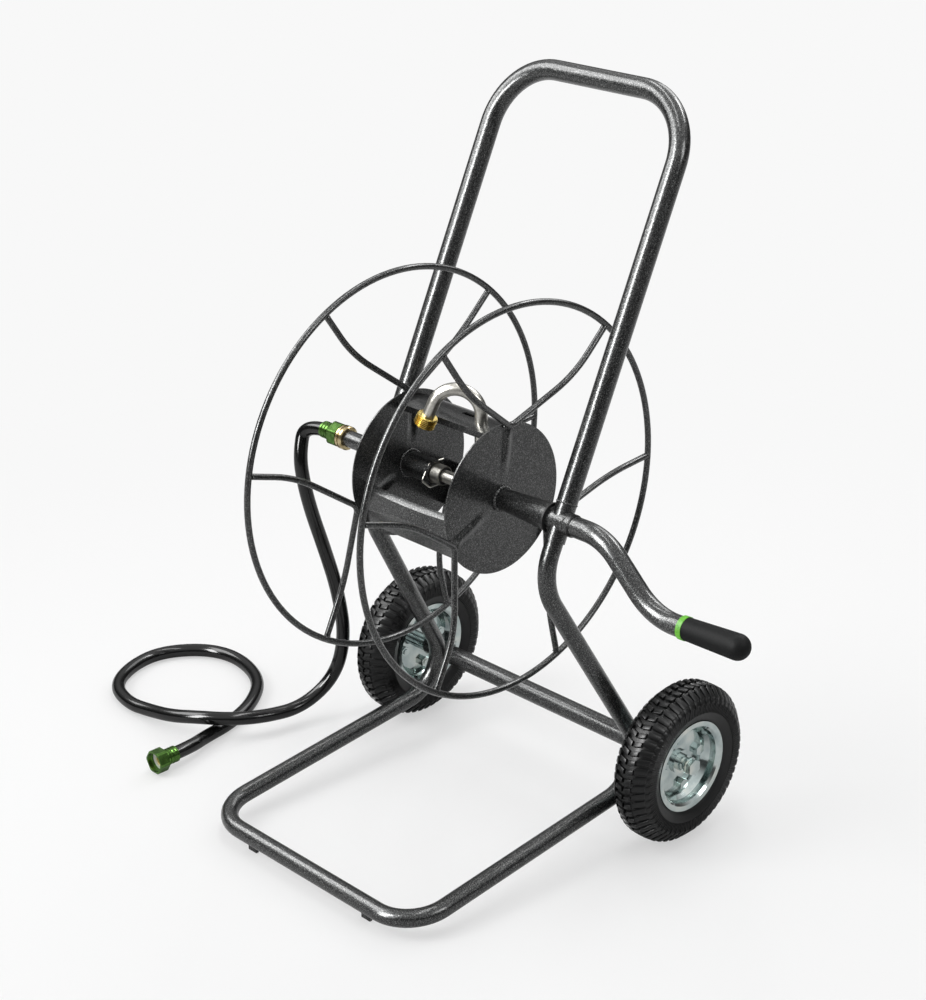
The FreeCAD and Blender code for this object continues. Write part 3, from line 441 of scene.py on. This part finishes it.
# ---- Drum plates -----------------------------------------------------------------------
# Two pressed channels that the hose winds on. Each has a crowned face, a crease where the
# face falls away, and lips turned in along both edges.
PLATE_TURN = math.radians(1)
PLATE_X, PLATE_HALF_LENGTH, HALF_PLATE = -0.028, 0.080, 0.0266
PLATE_OUT = 0.0882  # from the axle to the face
PLATE_SHEET = 0.0014
CREASE_AT_MIDDLE, CREASE_BOW = 0.36, 0.46  # as shares of the half width
CREASE_FROM, CREASE_TO = -0.06, 0.10
CREASE_STEP, FACE_FALL, CROWN = 0.0007, 0.33, 0.0035
LIP_START, LIP_FOLD, LIP_DEPTH = 0.93, 0.96, 0.007
for name, angle, up in (("front", APEXES[1] + PLATE_TURN, -1),
                        ("rear", APEXES[2] + PLATE_TURN, 1)):
    bm = bmesh.new()
    bmesh.ops.create_grid(bm, x_segments=48, y_segments=56, size=1)
    for vert in bm.verts:
        along, across = vert.co.x, vert.co.y * up
        past = across - (CREASE_AT_MIDDLE - CREASE_BOW * along * along)
        out = (PLATE_OUT - FACE_FALL * max(0.0, past) * HALF_PLATE
               - CREASE_STEP * smooth_step(CREASE_FROM, CREASE_TO, past)
               - LIP_DEPTH * smooth_step(LIP_START, 1.0, abs(across))
               - CROWN * (0.5 + 0.5 * across) * (0.5 + 0.5 * across))
        aside = HALF_PLATE * min(abs(across), LIP_FOLD) * (1 if across > 0 else -1) * up
        vert.co = on_reel(PLATE_X + PLATE_HALF_LENGTH * along, angle, out, aside)
    bmesh.ops.recalc_face_normals(bm, faces=bm.faces)
    bmesh.ops.solidify(bm, geom=bm.faces[:], thickness=PLATE_SHEET)
    finish_piece(bm, "pressed_drum_plate_" + name, "reel", hammertone,
                 ["drum_plate_" + name])


# ---- Wheels ----------------------------------------------------------------------------
# Small pneumatic tyres on two-piece zinc-plated rims. The tyre is black rubber with
# staggered blocks on the tread, notched shoulder lugs and a ribbed upper sidewall.

# The rubber comes from the mould with a slight shine, so each block has its own glint.
BLOOM = 11.111  # millimetres across a patch of bloom on the rubber
tyre_rubber, place = new_material("moulded_tyre_rubber")
bloom = add_node(tyre_rubber, "ShaderNodeTexNoise",
                 {"Vector": place, "Scale": 1000 / BLOOM, "Detail": 5})
tone = add_node(tyre_rubber, "ShaderNodeValToRGB", {"Fac": bloom.outputs["Fac"]},
                stops=[(0.3, "#040505"), (0.75, "#0b0c0d")])
pores = add_node(tyre_rubber, "ShaderNodeBump",
                 {"Height": bloom.outputs["Fac"], "Strength": 0.12, "Distance": 0.001})
surface = add_node(tyre_rubber, "ShaderNodeBsdfPrincipled",
                   {"Base Color": tone.outputs["Color"], "Normal": pores.outputs[0],
                    "Roughness": 0.36, "Specular IOR Level": 0.42})
add_node(tyre_rubber, "ShaderNodeOutputMaterial", {"Surface": surface.outputs[0]})

# Bright zinc plate, passivated to a faint blue, with hazy patches that blur what it mirrors.
PASSIVATION = 26.316  # millimetres across a hazy patch
zinc, place = new_material("bright_zinc_plate")
patches = add_node(zinc, "ShaderNodeTexNoise",
                   {"Vector": place, "Scale": 1000 / PASSIVATION, "Detail": 4})
tone = add_node(zinc, "ShaderNodeValToRGB", {"Fac": patches.outputs["Fac"]},
                stops=[(0.3, "#a3b1b1"), (0.55, "#ccd6d4"), (0.75, "#e4e6de")])
haze = add_node(zinc, "ShaderNodeMapRange",
                {"Value": patches.outputs["Fac"], "From Min": 0.3, "From Max": 0.75,
                 "To Min": 0.07, "To Max": 0.17})
surface = add_node(zinc, "ShaderNodeBsdfPrincipled",
                   {"Base Color": tone.outputs["Color"], "Roughness": haze.outputs[0],
                    "Metallic": 1.0})
add_node(zinc, "ShaderNodeOutputMaterial", {"Surface": surface.outputs[0]})

WHEEL_HALF, WHEEL_BACK = 0.235, 0.132
WHEEL_X = {"left": MIDDLE - WHEEL_HALF, "right": MIDDLE + WHEEL_HALF}
WHEEL_Y = AXLE_Y + WHEEL_BACK
WHEEL_Z = 0.1047
LUGS, RIBS_TO_A_LUG = 54, 3
# Half sections of the tyre: radius and distance from its middle, in millimetres.
HALF_CASING = [(50.5, 10), (51.5, 18), (54, 20.2), (59.6, 20.7), (61.5, 22.4), (66, 24.6),
               (71, 26.4), (72.5, 27.1), (78, 27.6), (84, 27.2), (89, 25.0), (93, 21.4),
               (97, 16.2), (99.6, 12), (100.6, 6), (100.8, 3)]
HALF_LINING = [(98, 4), (97, 11), (93, 16.4), (87, 21), (80, 22.6), (73, 22), (66, 19),
               (57, 12.5)]
# Blocks in metres: inner and outer edge from the tyre's middle, radius of foot and top,
# width round the tyre, how far the outer end drops, and how far it leans round.
SHOULDER_LUG = (0.0130, 0.0245, 0.0955, 0.1034, 0.0082, 0.0113, 0.0016)
SIDE_LUG = (0.0236, 0.0276, 0.084, 0.0922, 0.0074, 0.0058, 0.0)
CROWN_BLOCK = (0.0016, 0.0116, 0.0988, 0.1046, 0.0072, 0.0008, 0.0030)
SIDE_RIB = (0.0262, 0.0281, 0.0730, 0.0852, 0.0011, 0.0, 0.0)
CROWN_EDGE = 0.0122  # the blocks inside it stand half a pitch round from the lugs
TOP_TAPER = 0.86
BLOCK_BEVEL = 0.0007


def mm(corners):
    """Corners in millimetres as corners in metres."""
    return [(r / 1000, w / 1000) for r, w in corners]


def mirrored(corners):
    """The same corners on the other side of the middle, in the order that closes a loop."""
    return [(r, -w) for r, w in reversed(corners)]


def tread_block(bm, centre, way, shape):
    """One moulded block on the top of the tyre, on the side that way points to."""
    inner_edge, outer_edge, foot, crest, wide, drop, skew = shape
    for vert in bmesh.ops.create_cube(bm, size=1)["verts"]:
        outer, top = vert.co.x > 0, vert.co.z > 0
        x = way * (outer_edge if outer else inner_edge)
        radius = (crest if top else foot) - (drop if outer else 0)
        spread = wide * (TOP_TAPER if top else 1.0)
        lean = skew if outer else 0
        vert.co = centre + Vector((x, vert.co.y * spread + lean, radius))


def repeat_round(bm, centre, count):
    """Copies all of a bmesh round a wheel until count of it stand in a ring."""
    bmesh.ops.spin(bm, geom=bm.verts[:] + bm.edges[:] + bm.faces[:], cent=centre,
                   axis=X_WAY, angle=math.tau * (count - 1) / count, steps=count - 1,
                   use_duplicate=True)


def pour_into(bm, other):
    """Adds another bmesh to this one and frees it."""
    carrier = bpy.data.meshes.new("carrier")
    other.to_mesh(carrier)
    other.free()
    bm.from_mesh(carrier)
    bpy.data.meshes.remove(carrier)


for side in ("left", "right"):
    centre = Vector((WHEEL_X[side], WHEEL_Y, WHEEL_Z))
    bm = bmesh.new()
    outline = HALF_CASING + mirrored(HALF_CASING) + mirrored(HALF_LINING) + HALF_LINING
    spin_profile(bm, mm(outline), centre, X_WAY, steps=144)
    blocks = bmesh.new()
    for way in (-1, 1):
        for shape in (SHOULDER_LUG, SIDE_LUG, CROWN_BLOCK):
            tread_block(blocks, centre, way, shape)
    half_pitch = Matrix.Rotation(math.pi / LUGS, 4, "X")
    for vert in blocks.verts:
        if abs(vert.co.x - centre.x) < CROWN_EDGE:
            vert.co = centre + half_pitch @ (vert.co - centre)
    bmesh.ops.bevel(blocks, geom=blocks.edges[:] + blocks.verts[:], offset=BLOCK_BEVEL,
                    segments=2, affect="EDGES", profile=0.5, material=-1)
    repeat_round(blocks, centre, LUGS)
    pour_into(bm, blocks)
    ribs = bmesh.new()
    for way in (-1, 1):
        tread_block(ribs, centre, way, SIDE_RIB)
    repeat_round(ribs, centre, LUGS * RIBS_TO_A_LUG)
    pour_into(bm, ribs)
    finish_piece(bm, side + "_knobbed_tyre", side + "_wheel", tyre_rubber,
                 [side + "_tyre"], merge=0.000002)
    repaint(tyre_rubber, side + "_inner_tube")
    repaint(zinc, side + "_rim_bolts", side + "_rim_nuts", side + "_wheel_hub",
            side + "_rim_outer", side + "_rim_inner")
repaint(zinc, "axle_bolts", "axle_washers", "axle_plugs")


# ---- Gooseneck and swivel --------------------------------------------------------------
# A bent stainless tube carries the water from the swivel to a brass garden-hose thread.
# The steel is drawn and brushed to a satin that smears what it reflects.
DRAW_MARK = 3.125  # millimetres across a patch of the drawn surface
satin, place = new_material("satin_stainless")
drawn = add_node(satin, "ShaderNodeTexNoise",
                 {"Vector": place, "Scale": 1000 / DRAW_MARK, "Detail": 2})
tone = add_node(satin, "ShaderNodeValToRGB", {"Fac": drawn.outputs["Fac"]},
                stops=[(0.3, "#adaba4"), (0.7, "#c9c7c0")])
surface = add_node(satin, "ShaderNodeBsdfPrincipled",
                   {"Base Color": tone.outputs["Color"], "Metallic": 1.0, "Roughness": 0.29})
add_node(satin, "ShaderNodeOutputMaterial", {"Surface": surface.outputs[0]})
repaint(satin, "gooseneck_pipe", "swivel_ring", "retaining_clip")

# Turned brass, bright yellow where it is fresh and duller where it has been handled.
TARNISH = 8.333  # millimetres across a dull patch
machined_brass, place = new_material("machined_brass")
tarnish = add_node(machined_brass, "ShaderNodeTexNoise",
                   {"Vector": place, "Scale": 1000 / TARNISH, "Detail": 3})
tone = add_node(machined_brass, "ShaderNodeValToRGB", {"Fac": tarnish.outputs["Fac"]},
                stops=[(0.3, "#ae9348"), (0.7, "#dac578")])
dullness = add_node(machined_brass, "ShaderNodeMapRange",
                    {"Value": tarnish.outputs["Fac"], "To Min": 0.16, "To Max": 0.3})
surface = add_node(machined_brass, "ShaderNodeBsdfPrincipled",
                   {"Base Color": tone.outputs["Color"], "Roughness": dullness.outputs[0],
                    "Metallic": 1.0})
add_node(machined_brass, "ShaderNodeOutputMaterial", {"Surface": surface.outputs[0]})
repaint(machined_brass, "inlet_stem", "end_stem")

NECK_HEADING, NECK_SWEEP = math.radians(213), math.radians(78.5)
NECK_X, NECK_BEND, NECK_RISE, NECK_TAIL = 0.018, 0.030, 0.0977, 0.0316
THREAD_LAP = 0.012  # how far the brass reaches back over the tube
THREAD_PITCH, THREAD_TURNS = 2.2, 6  # millimetres
heading = Vector((math.cos(NECK_HEADING), math.sin(NECK_HEADING), 0))
above = Vector((0, 0, 1))
half_bend = NECK_BEND * math.tan(NECK_SWEEP / 2)
crest = Vector((MIDDLE + NECK_X, AXLE_Y, AXLE_Z + NECK_RISE + half_bend))
over_way = heading * math.sin(NECK_SWEEP) + above * math.cos(NECK_SWEEP)
over = crest + over_way * (2 * half_bend)
mouth_way = heading * math.sin(2 * NECK_SWEEP) + above * math.cos(2 * NECK_SWEEP)
mouth = over + mouth_way * (half_bend + NECK_TAIL)
thread_profile = [(8, 0), (12.3, 0), (12.8, 0.5)]
for turn in range(THREAD_TURNS):
    root = 1.0 + THREAD_PITCH * turn
    thread_profile += [(13.4, root), (13.4, root + 0.7), (12.0, root + 1.3),
                       (12.0, root + 1.7)]
thread_profile += [(12.6, 14), (6.2, 14), (6.2, 12), (8, 12)]
bm = bmesh.new()
spin_profile(bm, mm(thread_profile), mouth - mouth_way * THREAD_LAP, mouth_way, steps=64)
finish_piece(bm, "brass_hose_thread", "reel", machined_brass, ["outlet_thread"],
             sharp=25)


# ---- Inlet adapter ---------------------------------------------------------------------
# A turned brass adapter of a paler, lead-free alloy, screwed on the end of the inlet pipe.
# It is left as machined, so it mirrors clearly and only its colour is soft.
ALLOY_CLOUD = 7.143  # millimetres across a paler cloud in the alloy
pale_brass, place = new_material("pale_brass")
cloud = add_node(pale_brass, "ShaderNodeTexNoise",
                 {"Vector": place, "Scale": 1000 / ALLOY_CLOUD, "Detail": 2})
tone = add_node(pale_brass, "ShaderNodeValToRGB", {"Fac": cloud.outputs["Fac"]},
                stops=[(0.3, "#a8946a"), (0.7, "#d6c69c")])
surface = add_node(pale_brass, "ShaderNodeBsdfPrincipled",
                   {"Base Color": tone.outputs["Color"], "Metallic": 1.0, "Roughness": 0.22})
add_node(pale_brass, "ShaderNodeOutputMaterial", {"Surface": surface.outputs[0]})
repaint(pale_brass, "inlet_adapter")


# ---- Green ferrules and nuts -----------------------------------------------------------
# Turned aluminium, anodised green, with rings where the ferrule was crimped on the hose.
# The dye lies in the oxide, so the metal's own gloss shows through the green.
DYE_CLOUD = 6.667  # millimetres across a deeper patch of dye
anodised, place = new_material("green_anodised_aluminium")
dye = add_node(anodised, "ShaderNodeTexNoise",
               {"Vector": place, "Scale": 1000 / DYE_CLOUD, "Detail": 3})
tone = add_node(anodised, "ShaderNodeValToRGB", {"Fac": dye.outputs["Fac"]},
                stops=[(0.3, "#3b5a24"), (0.7, "#5f8740")])
surface = add_node(anodised, "ShaderNodeBsdfPrincipled",
                   {"Base Color": tone.outputs["Color"], "Metallic": 0.85, "Roughness": 0.22})
add_node(anodised, "ShaderNodeOutputMaterial", {"Surface": surface.outputs[0]})
repaint(anodised, "inlet_nut", "end_nut")

ferrule_profile = [(6.4, 0), (10.6, 0), (11.2, 0.6), (11.2, 3.0), (10.2, 3.8), (10.2, 5.2),
                   (11.2, 6.0), (11.2, 8.2), (10.2, 9.0), (10.2, 10.4), (11.2, 11.2),
                   (11.2, 13.4), (10.2, 14.2), (10.2, 15.6), (11.2, 16.4), (11.2, 19.4),
                   (10.6, 20), (9.25, 20), (9.25, 1.7), (6.4, 1.7)]
NEAR_FERRULE = (MIDDLE - 0.2499, AXLE_Y, AXLE_Z)
FAR_FERRULE = (MIDDLE - 0.343, AXLE_Y - 0.2335, 0.0176)
for name, start, axis, node in (
        ("inlet_crimped_ferrule", NEAR_FERRULE, (-1, 0, 0), "inlet_ferrule"),
        ("end_crimped_ferrule", FAR_FERRULE, (0, 1, 0), "end_ferrule")):
    bm = bmesh.new()
    spin_profile(bm, mm(ferrule_profile), start, axis, steps=64)
    finish_piece(bm, name, "frame", anodised, [node])


# ---- Coupling washers ------------------------------------------------------------------
# Soft white vinyl washers, plain and dull, pressed into each nut to seal against its stem.
# With them the hose and all its fittings are in place.
white_vinyl = new_material("white_vinyl_washer")[0]
surface = add_node(white_vinyl, "ShaderNodeBsdfPrincipled",
                   {"Base Color": linear("#d8d8d2"), "Roughness": 0.5})
add_node(white_vinyl, "ShaderNodeOutputMaterial", {"Surface": surface.outputs[0]})
repaint(white_vinyl, "inlet_washer", "end_washer")


# ---- Crank grip ------------------------------------------------------------------------
# A dipped black vinyl sleeve with a bright green ring moulded at its inner end. The sleeve
# is soft and nearly matt, and the ring is smoother, so its colour stays clean.
SKIN_GRAIN = 1.4286  # millimetres across a grain of the dipped skin
vinyl, place = new_material("soft_black_vinyl")
skin = add_node(vinyl, "ShaderNodeTexNoise",
                {"Vector": place, "Scale": 1000 / SKIN_GRAIN, "Detail": 2})
tone = add_node(vinyl, "ShaderNodeValToRGB", {"Fac": skin.outputs["Fac"]},
                stops=[(0.3, "#0e0f10"), (0.7, "#181919")])
fine = add_node(vinyl, "ShaderNodeBump",
                {"Height": skin.outputs["Fac"], "Strength": 0.1, "Distance": 0.0005})
surface = add_node(vinyl, "ShaderNodeBsdfPrincipled",
                   {"Base Color": tone.outputs["Color"], "Normal": fine.outputs[0],
                    "Roughness": 0.55, "Specular IOR Level": 0.14})
add_node(vinyl, "ShaderNodeOutputMaterial", {"Surface": surface.outputs[0]})
repaint(vinyl, "crank_grip")

PIGMENT_CLOUD = 3.333  # millimetres across a lighter cloud of pigment
lime, place = new_material("bright_green_vinyl")
tint = add_node(lime, "ShaderNodeTexNoise", {"Vector": place,
                                             "Scale": 1000 / PIGMENT_CLOUD})
tone = add_node(lime, "ShaderNodeValToRGB", {"Fac": tint.outputs["Fac"]},
                stops=[(0.3, "#5db528"), (0.7, "#78cc3a")])
surface = add_node(lime, "ShaderNodeBsdfPrincipled",
                   {"Base Color": tone.outputs["Color"], "Roughness": 0.35})
add_node(lime, "ShaderNodeOutputMaterial", {"Surface": surface.outputs[0]})
repaint(lime, "grip_ring")
